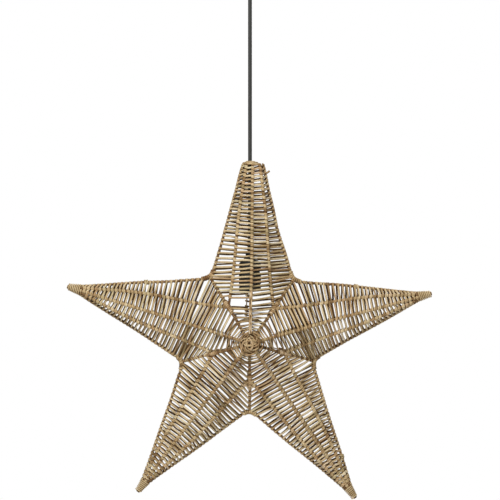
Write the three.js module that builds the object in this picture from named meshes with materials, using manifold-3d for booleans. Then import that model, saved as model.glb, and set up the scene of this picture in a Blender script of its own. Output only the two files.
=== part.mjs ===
// Woven advent star: a hollow five-armed cane shade on its cable, with a lampholder inside.
// Millimetres, +Z up. The star faces -Y. The origin is where the ceiling fitting meets the ceiling.

import * as THREE from 'three';
import { mergeVertices } from 'three/addons/utils/BufferGeometryUtils.js';
import Module from 'manifold-3d';

const wasm = await Module();
wasm.setup();

// Star: bearings are clockwise degrees from straight up, seen from the front.
// Reach is the distance from the hub to where an arm's edges meet, and end is where the arm stops.
const ARMS = [
  { name: 'top_arm', bearing: 1, reach: 288, end: 249.5, sides: ['left', 'right'] },
  { name: 'right_arm', bearing: 75, reach: 254, end: 257, sides: ['upper', 'lower'] },
  { name: 'lower_right_arm', bearing: 146, reach: 254, end: 257, sides: ['outer', 'inner'] },
  { name: 'lower_left_arm', bearing: 217, reach: 252, end: 255.5, sides: ['inner', 'outer'] },
  { name: 'left_arm', bearing: 287, reach: 259, end: 261, sides: ['lower', 'upper'] },
];
// Notch i lies clockwise of arm i.
const NOTCHES = [
  { name: 'upper_right', bearing: 35, reach: 102.5 },
  { name: 'lower_right', bearing: 106.5, reach: 89 },
  { name: 'bottom', bearing: 180.5, reach: 93.5 },
  { name: 'lower_left', bearing: 254, reach: 96 },
  { name: 'upper_left', bearing: 328.5, reach: 104 },
];
const HUB_DEPTH = 65;
const HANG_DROP = 515;

// Stakes and weave
const STAKE_RADIUS = 2.5;
const STAKE_SIDES = 6;
const FLANK_WIDTH = 3.2;
const FLANK_SHARE = 0.53;
const BAND_PITCH = 16.8;
const BAND_WIDTH = 8;
const WEAVE_THICKNESS = 3;
const SHORTEST_BAND = 7;

// Bound ends of the arms, the hub knot and the hoop of the back opening
const TIP_LENGTH = 30;
const TIP_BASE_RADIUS = 10.4;
const TIP_END_RADIUS = 4.6;
const TIP_ROUNDING = 2;
const COLLAR_LENGTH = 20;
const COLLAR_BASE_RADIUS = 18.8;
const COLLAR_SHOULDER_RADIUS = 15.8;
const COLLAR_SHOULDER_HEIGHT = 14;
const COLLAR_CROWN_RADIUS = 11.5;
const COLLAR_CROWN_HEIGHT = 18.8;
const COLLAR_BORE_RADIUS = 3;
const HUB_RADIUS = 27;
const HUB_CROWN_RADIUS = 12;
const HUB_CROWN = 63;
const HUB_RIM_FRONT = 56.5;
const HUB_RIM_BACK = 48.5;
const HOOP_RADIUS = 30;
const HOOP_STEPS = 20;

// Lampholder, cable and ceiling fitting
const HOLDER_RADIUS = 15;
const HOLDER_BORE_RADIUS = 9.5;
const HOLDER_BORE_DEPTH = 30;
const HOLDER_BODY_LENGTH = 38;
const HOLDER_LENGTH = 52;
const HOLDER_NECK_RADIUS = 6;
const HOLDER_ABOVE_HUB = 70;
const CABLE_RADIUS = 2.65;
const CABLE_SIDES = 8;
const CABLE_STEP = 16;
const FITTING_RADIUS = 30;
const FITTING_RIM = 6;
const FITTING_SHOULDER_RADIUS = 21;
const FITTING_SHOULDER_DROP = 16.8;
const FITTING_HEIGHT = 24;
const FITTING_GLAND_BASE_RADIUS = 7.8;
const FITTING_GLAND_RADIUS = 6;
const FITTING_LENGTH = 32;

// Clearances between touching pieces
const GAP = 0.3;
const END_CLEARANCE = 1.2;
const NOTCH_CLEARANCE = 2.8;
const VALLEY_CLEARANCE = 5.4;

const ROUND_SEGMENTS = 16;
const TIP_SEGMENTS = 12;
const FRONT = -1;
const BACK = 1;
const FACES = [[FRONT, 'front'], [BACK, 'back']];
const UP = new THREE.Vector3(0, 1, 0);

const FINISHES = {
  cane: new THREE.MeshStandardMaterial({ color: 0xc4a878, roughness: 0.55 }),
  stake: new THREE.MeshStandardMaterial({ color: 0xb4946a, roughness: 0.6 }),
  plastic: new THREE.MeshStandardMaterial({ color: 0x2d302d, roughness: 0.4 }),
  cable: new THREE.MeshStandardMaterial({ color: 0x464641, roughness: 0.7 }),
};

const star = new THREE.Group();
star.position.set(0, 0, -HANG_DROP);

function named(name, geometry, material) {
  const mesh = new THREE.Mesh(geometry, material);
  mesh.name = name;
  return mesh;
}

// A point in the star's own frame, from its bearing and distance round the hub.
function onBearing(bearing, distance, depth = 0) {
  const angle = THREE.MathUtils.degToRad(bearing);
  return new THREE.Vector3(distance * Math.sin(angle), depth, distance * Math.cos(angle));
}

// Closed solids for joining and cutting
function toSolid(geometry) {
  geometry.deleteAttribute('normal');
  geometry.deleteAttribute('uv');
  const merged = mergeVertices(geometry, 1e-4);
  const index = merged.getIndex().array;
  const corners = [];
  for (let i = 0; i < index.length; i += 3) {
    const [a, b, c] = [index[i], index[i + 1], index[i + 2]];
    if (a !== b && b !== c && c !== a) corners.push(a, b, c);
  }
  return new wasm.Manifold(new wasm.Mesh({
    numProp: 3,
    vertProperties: new Float32Array(merged.getAttribute('position').array),
    triVerts: new Uint32Array(corners),
  }));
}

function toGeometry(solid) {
  const { vertProperties, triVerts } = solid.getMesh();
  const geometry = new THREE.BufferGeometry();
  geometry.setAttribute('position', new THREE.BufferAttribute(vertProperties, 3));
  geometry.setIndex(new THREE.BufferAttribute(triVerts, 1));
  geometry.computeVertexNormals();
  return geometry;
}

// A straight round stake on the line between two points, from one share of its length to another.
function stake(name, from, to, startShare, stopShare) {
  const start = from.clone().lerp(to, startShare);
  const stop = from.clone().lerp(to, stopShare);
  const length = start.distanceTo(stop);
  const geometry = new THREE.CylinderGeometry(STAKE_RADIUS, STAKE_RADIUS, length, STAKE_SIDES);
  const mesh = named(name, geometry, FINISHES.stake);
  mesh.position.lerpVectors(start, stop, 0.5);
  mesh.quaternion.setFromUnitVectors(UP, stop.sub(start).normalize());
  return mesh;
}

// How far a band stops short of a round stake's axis, along the band, where they meet at a slant.
function standOff(stakeLine) {
  const slant = stakeLine.x / stakeLine.length();
  return (STAKE_RADIUS + GAP) / Math.sqrt(1 - slant * slant);
}

// The axial station where an arm's bound end begins.
function boundFrom(arm) {
  return arm.end - (arm.name === 'top_arm' ? COLLAR_LENGTH : TIP_LENGTH);
}

// How far out the knot on the front, or the hoop on the back, keeps the hub to itself.
function hubClearance(face) {
  return END_CLEARANCE + (face === FRONT ? HUB_RADIUS : HOOP_RADIUS + STAKE_RADIUS);
}

// How far along an arm a notch lies.
function stationOf(notch, arm) {
  return onBearing(notch.bearing, notch.reach).dot(onBearing(arm.bearing, 1));
}

// One flat facet between a ridge, a valley and an edge: bands of weave held on a flank stake.
// It is drawn in its own plane, with X along the bands and Y towards the tip, from the hub.
function weave(name, arm, notch, face) {
  const hub = new THREE.Vector3(0, face * HUB_DEPTH, 0);
  const toTip = onBearing(arm.bearing, arm.reach).sub(hub);
  const toCorner = onBearing(notch.bearing, notch.reach).sub(hub);
  const cornerShare = stationOf(notch, arm) / arm.reach;
  const across = toCorner.clone().addScaledVector(toTip, -cornerShare).normalize();
  const upward = toTip.clone().addScaledVector(across, -toTip.dot(across)).normalize();
  const inPlane = (offset) => new THREE.Vector2(offset.dot(across), offset.dot(upward));
  const tip = inPlane(toTip);
  const corner = inPlane(toCorner);
  const edge = tip.clone().sub(corner);
  const flankRoot = corner.clone().multiplyScalar(FLANK_SHARE);
  const flankLine = tip.clone().sub(flankRoot);
  const heightAt = (station) => tip.y * station / arm.reach;

  const innerLimit = (height) => tip.x * height / tip.y + standOff(tip);
  function outerLimit(height) {
    if (height < corner.y) return corner.x * height / corner.y - standOff(corner);
    return corner.x + edge.x * (height - corner.y) / edge.y - standOff(edge);
  }

  function band(station) {
    const low = heightAt(station) - BAND_WIDTH / 2;
    const high = low + BAND_WIDTH;
    const inner = Math.max(innerLimit(low), innerLimit(high));
    const outer = Math.min(outerLimit(low), outerLimit(high));
    return { low, high, inner, outer };
  }

  // The flank stake carries the bands. Below its root on the valley, a strip by the valley does.
  function carrierAt(lowerBand, height) {
    const flank = flankRoot.x + flankLine.x * (height - flankRoot.y) / flankLine.y;
    return Math.min(flank, lowerBand.outer - FLANK_WIDTH);
  }

  const bands = [];
  const firstStation = hubClearance(face) + BAND_WIDTH / 2;
  for (let station = firstStation; station < boundFrom(arm) - BAND_WIDTH; station += BAND_PITCH) {
    const next = band(station);
    if (next.outer - next.inner > SHORTEST_BAND) bands.push(next);
  }

  const outerSide = [];
  const innerSide = [];
  bands.forEach((current, i) => {
    const above = bands[i + 1] ?? { low: heightAt(boundFrom(arm) - END_CLEARANCE) };
    outerSide.push([current.outer, current.low], [current.outer, current.high]);
    innerSide.push([current.inner, current.low], [current.inner, current.high]);
    for (const height of [current.high, above.low]) {
      const carrier = carrierAt(current, height);
      outerSide.push([carrier + FLANK_WIDTH / 2, height]);
      innerSide.push([carrier - FLANK_WIDTH / 2, height]);
    }
  });
  const outline = [...outerSide, ...innerSide.reverse()].map(([x, y]) => new THREE.Vector2(x, y));
  const geometry = new THREE.ExtrudeGeometry(new THREE.Shape(outline), {
    depth: WEAVE_THICKNESS,
    bevelEnabled: false,
  });
  geometry.translate(0, 0, -WEAVE_THICKNESS / 2);
  const normal = new THREE.Vector3().crossVectors(across, upward);
  geometry.applyMatrix4(new THREE.Matrix4().makeBasis(across, upward, normal).setPosition(hub));
  return named(name, geometry, FINISHES.cane);
}

// The tightly bound end of an arm, turned about the arm's axis.
function wrappedTip(name, arm) {
  const profile = [
    new THREE.Vector2(0, 0),
    new THREE.Vector2(TIP_BASE_RADIUS, 0),
    new THREE.Vector2(TIP_END_RADIUS, TIP_LENGTH - TIP_ROUNDING),
    new THREE.Vector2(TIP_END_RADIUS - TIP_ROUNDING, TIP_LENGTH),
    new THREE.Vector2(0, TIP_LENGTH),
  ];
  const mesh = named(name, new THREE.LatheGeometry(profile, TIP_SEGMENTS), FINISHES.cane);
  mesh.position.copy(onBearing(arm.bearing, arm.end - TIP_LENGTH));
  mesh.quaternion.setFromUnitVectors(UP, onBearing(arm.bearing, 1));
  return mesh;
}

// The blunt bound end of the top arm, drawn in round the cable.
function collar(name, arm) {
  const profile = [
    new THREE.Vector2(0, 0),
    new THREE.Vector2(COLLAR_BASE_RADIUS, 0),
    new THREE.Vector2(COLLAR_SHOULDER_RADIUS, COLLAR_SHOULDER_HEIGHT),
    new THREE.Vector2(COLLAR_CROWN_RADIUS, COLLAR_CROWN_HEIGHT),
    new THREE.Vector2(0, COLLAR_LENGTH),
  ];
  const dome = new THREE.LatheGeometry(profile, ROUND_SEGMENTS);
  dome.rotateX(Math.PI / 2);
  const base = onBearing(arm.bearing, arm.end - COLLAR_LENGTH);
  dome.translate(base.x, base.y, base.z);
  const boreLength = 3 * COLLAR_LENGTH;
  const bore = new THREE.CylinderGeometry(
    COLLAR_BORE_RADIUS, COLLAR_BORE_RADIUS, boreLength, ROUND_SEGMENTS);
  bore.rotateX(Math.PI / 2);
  bore.translate(0, 0, base.z);
  return named(name, toGeometry(toSolid(dome).subtract(toSolid(bore))), FINISHES.cane);
}

// The knot where the front stakes meet: a low crown over a rim.
function hubKnot() {
  const profile = [
    new THREE.Vector2(0, HUB_RIM_BACK),
    new THREE.Vector2(HUB_RADIUS, HUB_RIM_BACK),
    new THREE.Vector2(HUB_RADIUS, HUB_RIM_FRONT),
    new THREE.Vector2(HUB_CROWN_RADIUS, HUB_CROWN),
    new THREE.Vector2(0, HUB_CROWN),
  ];
  const mesh = named('hub_knot', new THREE.LatheGeometry(profile, ROUND_SEGMENTS), FINISHES.cane);
  mesh.rotation.x = Math.PI;
  return mesh;
}

// The hoop round the opening in the back: it rises at each ridge and sinks at each valley.
// Its two ends butt together with a hair's gap.
class HoopCurve extends THREE.Curve {
  getPoint(share) {
    const openShare = GAP / (2 * Math.PI * HOOP_RADIUS);
    const bearing = 360 * (openShare / 2 + share * (1 - openShare));
    const mean = (values) => values.reduce((sum, value) => sum + value, 0) / values.length;
    const tipReach = mean(ARMS.map((arm) => arm.reach));
    const cornerReach = mean(NOTCHES.map((notch) => notch.reach));
    const high = HUB_DEPTH * (1 - HOOP_RADIUS / tipReach);
    const low = HUB_DEPTH * (1 - HOOP_RADIUS / cornerReach);
    const wave = Math.cos(THREE.MathUtils.degToRad(ARMS.length * (bearing - ARMS[0].bearing)));
    return onBearing(bearing, HOOP_RADIUS, (high + low) / 2 + wave * (high - low) / 2);
  }
}

function roundSection(radius, sides) {
  const points = [];
  for (let i = 0; i < sides; i += 1) {
    const angle = 2 * Math.PI * i / sides;
    points.push(new THREE.Vector2(radius * Math.cos(angle), radius * Math.sin(angle)));
  }
  return new THREE.Shape(points);
}

function backHoop() {
  const geometry = new THREE.ExtrudeGeometry(roundSection(STAKE_RADIUS, STAKE_SIDES), {
    steps: HOOP_STEPS,
    extrudePath: new HoopCurve(),
  });
  return named('back_opening_hoop', geometry, FINISHES.stake);
}

// Lampholder: a bell with its socket open below
function lampholder() {
  const profile = [
    new THREE.Vector2(0, HOLDER_BORE_DEPTH),
    new THREE.Vector2(HOLDER_BORE_RADIUS, HOLDER_BORE_DEPTH),
    new THREE.Vector2(HOLDER_BORE_RADIUS, 0),
    new THREE.Vector2(HOLDER_RADIUS, 0),
    new THREE.Vector2(HOLDER_RADIUS, HOLDER_BODY_LENGTH),
    new THREE.Vector2(HOLDER_NECK_RADIUS, HOLDER_LENGTH - HOLDER_NECK_RADIUS),
    new THREE.Vector2(HOLDER_NECK_RADIUS, HOLDER_LENGTH),
    new THREE.Vector2(0, HOLDER_LENGTH),
  ];
  const mesh = named('lampholder', new THREE.LatheGeometry(profile, ROUND_SEGMENTS), FINISHES.plastic);
  mesh.rotation.x = Math.PI / 2;
  mesh.position.z = HOLDER_ABOVE_HUB;
  return mesh;
}

// Cable: straight up from the lampholder, through the collar, to the ceiling fitting
function cable() {
  const start = HOLDER_ABOVE_HUB + HOLDER_LENGTH + GAP;
  const stop = HANG_DROP - FITTING_LENGTH - GAP;
  const path = new THREE.LineCurve3(new THREE.Vector3(0, 0, start), new THREE.Vector3(0, 0, stop));
  const geometry = new THREE.ExtrudeGeometry(roundSection(CABLE_RADIUS, CABLE_SIDES), {
    steps: Math.round((stop - start) / CABLE_STEP),
    extrudePath: path,
  });
  return named('cable', geometry, FINISHES.cable);
}

// Ceiling fitting: a closed dome with a gland for the cable
function ceilingFitting() {
  const profile = [
    new THREE.Vector2(0, -FITTING_LENGTH),
    new THREE.Vector2(FITTING_GLAND_RADIUS, -FITTING_LENGTH),
    new THREE.Vector2(FITTING_GLAND_BASE_RADIUS, -FITTING_HEIGHT),
    new THREE.Vector2(FITTING_SHOULDER_RADIUS, -FITTING_SHOULDER_DROP),
    new THREE.Vector2(FITTING_RADIUS, -FITTING_RIM),
    new THREE.Vector2(FITTING_RADIUS, 0),
    new THREE.Vector2(0, 0),
  ];
  const geometry = new THREE.LatheGeometry(profile, ROUND_SEGMENTS);
  const mesh = named('ceiling_fitting', geometry, FINISHES.plastic);
  mesh.rotation.x = Math.PI / 2;
  mesh.position.z = HANG_DROP;
  return mesh;
}

function buildArm(arm, index) {
  const tip = onBearing(arm.bearing, arm.reach);
  const stopStation = boundFrom(arm) - END_CLEARANCE;
  for (const [face, faceName] of FACES) {
    const hub = new THREE.Vector3(0, face * HUB_DEPTH, 0);
    const startShare = hubClearance(face) / arm.reach;
    const stopShare = stopStation / arm.reach;
    star.add(stake(`${arm.name}_${faceName}_ridge_stake`, hub, tip, startShare, stopShare));
  }
  const before = NOTCHES[(index + NOTCHES.length - 1) % NOTCHES.length];
  [before, NOTCHES[index]].forEach((notch, side) => {
    const corner = onBearing(notch.bearing, notch.reach);
    const startShare = NOTCH_CLEARANCE / corner.distanceTo(tip);
    const stopShare = (stopStation - stationOf(notch, arm)) / (arm.reach - stationOf(notch, arm));
    star.add(stake(`${arm.name}_${arm.sides[side]}_edge_stake`, corner, tip, startShare, stopShare));
    for (const [face, faceName] of FACES) {
      star.add(weave(`${arm.name}_${faceName}_${arm.sides[side]}_weave`, arm, notch, face));
    }
  });
  const topArm = arm.name === 'top_arm';
  star.add(topArm ? collar(`${arm.name}_collar`, arm) : wrappedTip(`${arm.name}_wrapped_tip`, arm));
}

function buildValleys(notch) {
  const corner = onBearing(notch.bearing, notch.reach);
  for (const [face, faceName] of FACES) {
    const hub = new THREE.Vector3(0, face * HUB_DEPTH, 0);
    const startShare = hubClearance(face) / notch.reach;
    const stopShare = 1 - VALLEY_CLEARANCE / hub.distanceTo(corner);
    star.add(stake(`${notch.name}_${faceName}_valley_stake`, hub, corner, startShare, stopShare));
  }
}

ARMS.forEach(buildArm);
NOTCHES.forEach(buildValleys);
star.add(hubKnot(), backHoop(), lampholder(), cable(), ceilingFitting());

const part = new THREE.Group();
part.add(star);

export default part;
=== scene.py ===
"""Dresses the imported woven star: cane on stakes, lampholder, cable, ceiling fitting and a plain studio.

Metres, +Z up, front towards -Y. The origin is where the ceiling fitting meets the ceiling.
"""

import math

import bpy
import numpy as np
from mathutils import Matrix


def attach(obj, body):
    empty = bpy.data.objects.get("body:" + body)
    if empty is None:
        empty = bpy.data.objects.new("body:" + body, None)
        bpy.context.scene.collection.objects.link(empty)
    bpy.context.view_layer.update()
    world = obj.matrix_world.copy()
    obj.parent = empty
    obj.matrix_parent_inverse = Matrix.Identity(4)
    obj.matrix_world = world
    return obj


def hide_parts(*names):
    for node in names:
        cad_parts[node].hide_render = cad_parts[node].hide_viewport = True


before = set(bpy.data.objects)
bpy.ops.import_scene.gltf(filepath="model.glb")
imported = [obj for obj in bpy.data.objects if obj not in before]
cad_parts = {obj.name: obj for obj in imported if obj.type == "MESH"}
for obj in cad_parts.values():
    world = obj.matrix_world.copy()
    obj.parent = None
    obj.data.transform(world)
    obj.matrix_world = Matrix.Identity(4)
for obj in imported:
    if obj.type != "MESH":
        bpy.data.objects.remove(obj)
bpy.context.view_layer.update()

SEED = 24
TINY = 1e-6
SOLVER_STEPS = 8
FORWARD = np.array([0.0, -1.0, 0.0])
BACKWARD = np.array([0.0, 1.0, 0.0])
rng = np.random.default_rng(SEED)

# Star
# Bearings are clockwise degrees from straight up, seen from the front. Two sides are given clockwise.
# Reach is where an arm's stakes would meet, and end is where the arm itself ends.
# Lean is how far the rows of the front and of the back lean towards the tip, per metre clockwise.
# Slant is the sense of the turns on a stake.
# Back phase is how many rows the back lies beyond the front: by the hub, along the arm and by the tip.
# Bow is how far the edge on each side bends outwards.
HUB = np.array([0.0, 0.0, -0.515])
HUB_DEPTH = 0.065
ARMS = [
    {"name": "top_arm", "bearing": 1, "reach": 0.288, "end": 0.2495,
     "sides": ("left", "right"), "lean": (-0.14, -0.18), "slant": -1,
     "back_phase": (0.55, 0.62, 0.50), "bow": (0.0, -0.0027)},
    {"name": "right_arm", "bearing": 75, "reach": 0.254, "end": 0.257,
     "sides": ("upper", "lower"), "lean": (-0.18, -0.225), "slant": -1,
     "back_phase": (0.74, 0.52, 0.52), "bow": (0.0008, 0.0)},
    {"name": "lower_right_arm", "bearing": 146, "reach": 0.254, "end": 0.257,
     "sides": ("outer", "inner"), "lean": (0.19, 0.19), "slant": 1,
     "back_phase": (0.22, -0.10, -0.10), "bow": (0.0, 0.0)},
    {"name": "lower_left_arm", "bearing": 217, "reach": 0.252, "end": 0.2555,
     "sides": ("inner", "outer"), "lean": (0.12, 0.13), "slant": 1,
     "back_phase": (0.22, -0.10, 0.10), "bow": (0.0, -0.0014)},
    {"name": "left_arm", "bearing": 287, "reach": 0.259, "end": 0.261,
     "sides": ("lower", "upper"), "lean": (0.08, 0.15), "slant": 1,
     "back_phase": (0.15, 0.53, 0.50), "bow": (0.0, -0.0009)},
]
NOTCHES = [
    {"name": "upper_right", "bearing": 35, "reach": 0.1038},
    {"name": "lower_right", "bearing": 106.5, "reach": 0.0897},
    {"name": "bottom", "bearing": 180.5, "reach": 0.0935},
    {"name": "lower_left", "bearing": 254, "reach": 0.096},
    {"name": "upper_left", "bearing": 328.5, "reach": 0.104},
]
FRONT, BACK = -1, 1
FACES = {"front": FRONT, "back": BACK}
NOTCH_ROUNDING = 0.0035
BOW_PLACE = 0.33
BOW_SPREAD = 0.14
DOME_SWELL = 0.09
DOME_SWELL_STATIONS = (0.205, 0.240)
DOME_LENGTH = 0.0085
DOME_CLOSURE = 0.75

# Cane
CANE_WIDTH = 0.0028
CANE_THICKNESS = 0.0017
CANE_SIDES = 8
CANE_TONES = (5.0, 4.0)
CANE_UNEVENNESS = 0.07
RUSTY_HUE = 0.1
STRAW_HUE = 0.5
RUSTY_TO = 0.12
OLIVE_FROM = 0.88
FIBRE_ALONG = 70.0
FIBRE_AROUND = 9.0
FIBRE_BY_TONE = 60.0
FIBRE_WEIGHT = 0.45
PATCH_WEIGHT = 0.6
# Painted shade: the next two weights darken each cane towards its sides and on its inner side.
SIDE_SHADE_WEIGHT = -0.55
INNER_SHADE_WEIGHT = -0.7
TONE_OFFSET = 0.23

# Stakes
STAKE_RADIUS = 0.0008
STAKE_STEP = 0.006
STAKE_WANDER = 0.0006
WANDER_RATE = 7
STAKE_TWIST = 0.01
STAKE_LEAD = 0.006
STAKE_MARGIN = 0.001
TOP_STAKE_MARGIN = 0.0052
STAKE_TONE = 0.15
VALLEY_STAKE_TONE = 0.2
DIRECTION_STEP = 0.01
BACK_RIDGE_SKEW = np.array([-0.007, 0.0, 0.0])
FLANK_SHARE = 0.53
FLANK_START = -0.01
FLANK_SWELL = 0.3
FLANK_SWELL_SHARES = (0.1, 0.75)

# Bands that cover the stakes
BAND_RADIUS = 0.0015
BAND_WIDTH = 0.0021
BAND_THICKNESS = 0.0012
BAND_PITCH = 0.00275
BAND_START = 0.021
BAND_TONE = 0.05
BAND_UNEVENNESS = 0.2

# Rows
ROW_PITCH = 0.0055
HUB_ROW_PITCH = 0.0032
HUB_ROW_STATIONS = (0.016, 0.034)
FIRST_ROW = {FRONT: 0.0145, BACK: 0.0345}
TOP_ROW_MARGIN = 0.0044
PHASE_STATIONS = ((0.045, 0.085), (0.150, 0.190))
SPARSE_PITCH = 0.00745
SPARSE_STATIONS = (0.0449, 0.0670)
CLEAR_CELL = (0.0485, 0.0565)
ROW_JITTER = 0.00025
CROSSING_JITTER = 0.0016
SPAN_SHARES = np.array([[0.25], [0.5], [0.75]])
SPAN_BOW = 0.0003
CLOSEST_STAKES = 0.0042
CHORD_ROUNDNESS = 1.236
CHORD_STATIONS = (0.014, 0.045)
LAST_VALLEY_SHARE = 0.98
FIRST_EDGE_SHARE = 0.02
LEAN_STATIONS = (0.08, 0.14)
TIP_ARC_SHARE = 0.6
TIP_ARC_MARGIN = 0.01
WRAP_RADIUS = STAKE_RADIUS + CANE_THICKNESS / 2
WRAP_ANGLE_STEP = math.radians(36)
# Turns round a stake are darker than the spans between stakes, and a turn in a valley is darker still:
# painted shade in the fold between two arms.
WRAP_SHADE = 0.14
VALLEY_PAINTED_SHADE = 0.26
TUCKED_TURN = 1.25 * math.pi
ATTACH_TURN = math.radians(58)
GRIP_SHARE = 0.52
# Rows near the hub are narrower, and darker as painted shade.
FINE_CANE_STATIONS = (0.020, 0.070)
FINE_CANE_SHARE = 0.74
HUB_ROW_PAINTED_SHADE = 0.17
# Very dark canes behind the rows near the hub: painted shade in the gaps between them.
UNDERLAY_END = 0.045
UNDERLAY_SHARE = 0.85
UNDERLAY_SPAN = np.linspace(-0.05, 1.05, 6)[:, None]
UNDERLAY_DEPTH = WRAP_RADIUS + 1.3 * CANE_THICKNESS
UNDERLAY_WIDTH = 0.0015
UNDERLAY_SHADE_TONE = -0.3
UNDERLAY_UNEVENNESS = 0.1

# Bound tips and collar
# The cover is how far a tip's binding stands off the lines of its edges, at its base and at its end.
TIP_LENGTH = 0.017
TIP_COVER = (0.0021, 0.0044)
TIP_ROUNDING = 0.0016
TIP_MOST_ROUNDED = 0.9
TIP_CLOSING = (1.0, 0.1)
TIP_COIL_PITCH = 0.0024
TIP_CANE_WIDTH = 0.0021
TIP_CANE_THICKNESS = 0.0018
TIP_TONES = (0.42, 0.58)
TIP_TONE_WAVE = 0.07
TIP_WAVE_RATES = (2.3, 0.9)
COIL_PITCH = 0.0026
COIL_STEPS = 20
BIND_STEPS = 9
COLLAR_RADIUS = 0.0118
COLLAR_HOLE_RADIUS = 0.0038
COLLAR_DROP = 0.0058
COLLAR_CROWN = 0.0040

# Hub knot
KNOT_RADIUS = 0.0135
KNOT_DEPTH = 0.0605
KNOT_CROWN = 0.0022
KNOT_CANE_WIDTH = 0.0016
KNOT_STEPS = 36
BACKING_START = 0.0010
BACKING_PITCH = 0.0024
BACKING_DROP = 0.0024
BACKING_TONE = -0.1
RING_START = 0.0024
RING_TURN = 2.2 * math.pi
RING_WAVE = 0.10
RING_GROWTH = 0.0004
RING_LIFT = 0.0008
RING_TONES = (0.2, 0.55)
LOOPS = 10
LOOP_STEPS = 26
LOOP_JITTER = 0.4
LOOP_RADII = (0.4, 0.72)
LOOP_OFFSETS = (0.25, 0.5)
LOOP_STARTS = (0.6, 1.2)
LOOP_TURN = 1.25 * math.pi
LOOP_LIFT = 0.0014
LOOP_WAVE = 0.0010
LOOP_TONES = (0.3, 0.7)

# Hoop, bindings, joins and loose end
# A join is an arm's index, its side and a station.
HOOP_RADIUS = 0.030
HOOP_BEARINGS = np.linspace(0.0, 359.0, 120)
HOOP_TONE = 0.3
HOOP_BINDING_TONE = 0.45
BINDING_STEP = 0.002
NOTCH_BINDING = 0.06
NOTCH_BINDING_RADIUS = 0.0029
NOTCH_BINDING_TONE = 0.3
FLANK_BINDING = (FLANK_SHARE - 0.07, FLANK_SHARE + 0.09)
FLANK_BINDING_RADIUS = WRAP_RADIUS + 0.0009
FLANK_BINDING_TONES = (0.2, 0.45)
JOINS = [(1, 0, 0.1605), (2, 0, 0.2005), (4, 1, 0.1596)]
JOIN_HALF_SHARE = 0.012
JOIN_RADIUS = WRAP_RADIUS + 0.0012
JOIN_TONE = 0.4
RIDGE_CANES = (0.045, 0.245)
RIDGE_CANE_STEP = 0.0035
RIDGE_CANE_WIDTH = 0.68 * CANE_WIDTH
RIDGE_CANE_OFFSET = 0.42 * CANE_WIDTH
RIDGE_CANE_JITTER = 0.0003
RIDGE_CANE_TONE = 0.50
RIDGE_CANE_UNEVENNESS = 0.25
LOOSE_END_STATION = 0.2305
LOOSE_END_LENGTH = 0.0075
LOOSE_END_LINE = np.array([0.80, -0.2, 0.60])
LOOSE_END_TONE = 0.1

# Lampholder, cable and ceiling fitting
LATHE_SEGMENTS = 96
HOLDER_BASE = -0.445
HOLDER_RADIUS = 0.015
HOLDER_BORE_RADIUS = 0.0095
HOLDER_BORE_DEPTH = 0.030
HOLDER_BODY_LENGTH = 0.038
HOLDER_LENGTH = 0.052
HOLDER_NECK_RADIUS = 0.006
HOLDER_ROUNDING = 0.0008
THREAD_TURNS = 8
THREAD_DEPTH = 0.0007
THREAD_RISE = 0.0009
CABLE_BOTTOM = -0.3927
CABLE_TOP = -0.0323
CABLE_DIAMETER = 0.0053
CABLE_POINTS = 23
BRAID_THREADS = 6.0
BRAID_RATE = 4200.0
FITTING_RADIUS = 0.030
FITTING_RIM = 0.006
FITTING_HEIGHT = 0.024
FITTING_LENGTH = 0.032
FITTING_GLAND_RADIUS = 0.006
FITTING_ROUNDING = 0.0010
RIB_DEPTH = 0.0006

# Camera and studio
VIEW_WIDTH = 0.685
CAMERA_DISTANCE = 4.0
CAMERA_HEIGHT = -0.3887
SENSOR_MM = 36
FILL_STRENGTH = 0.10
LIGHT_TARGET = (0.0, 0.0, -0.45)
FLOOR_HEIGHT = -1.25
FLOOR_RADIUS = 3.0
FLOOR_SIDES = 64


# Helpers

def unit(vector):
    return vector / np.linalg.norm(vector)


def smooth_step(low, high, value):
    share = np.clip((value - low) / (high - low), 0.0, 1.0)
    return share * share * (3 - 2 * share)


def distances(path):
    """How far along a path of points each of them lies."""
    return np.concatenate([[0.0], np.cumsum(np.linalg.norm(np.diff(path, axis=0), axis=1))])


def on_bearing(bearing, distance, depth=0.0):
    angle = math.radians(bearing)
    return HUB + np.array([distance * math.sin(angle), depth, distance * math.cos(angle)])


def heading(bearing):
    return on_bearing(bearing, 1.0) - HUB


def add_object(name, data):
    obj = bpy.data.objects.new(name, data)
    bpy.context.scene.collection.objects.link(obj)
    return obj


def place_piece(obj, slot, *nodes):
    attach(obj, "root")
    if nodes:
        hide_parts(*nodes)
    return obj


# Materials

def new_material(name):
    material = bpy.data.materials.new(name)
    material.use_nodes = True
    return material, material.node_tree, material.node_tree.nodes["Principled BSDF"]


def add_node(tree, kind, inputs=(), **settings):
    node = tree.nodes.new(kind)
    for key, value in settings.items():
        setattr(node, key, value)
    for key, value in dict(inputs).items():
        if isinstance(value, bpy.types.NodeSocket):
            tree.links.new(value, node.inputs[key])
        else:
            node.inputs[key].default_value = value
    return node


def math_node(tree, operation, *values):
    return add_node(tree, "ShaderNodeMath", dict(enumerate(values)), operation=operation).outputs[0]


def attribute(tree, name):
    return add_node(tree, "ShaderNodeAttribute", attribute_name=name).outputs["Fac"]


def colour_ramp(tree, factor, stops):
    node = add_node(tree, "ShaderNodeValToRGB", {"Fac": factor})
    elements = node.color_ramp.elements
    while len(elements) < len(stops):
        elements.new(1.0)
    for element, (position, colour) in zip(elements, stops):
        element.position = position
        element.color = (*colour, 1.0)
    return node.outputs["Color"]


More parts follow.
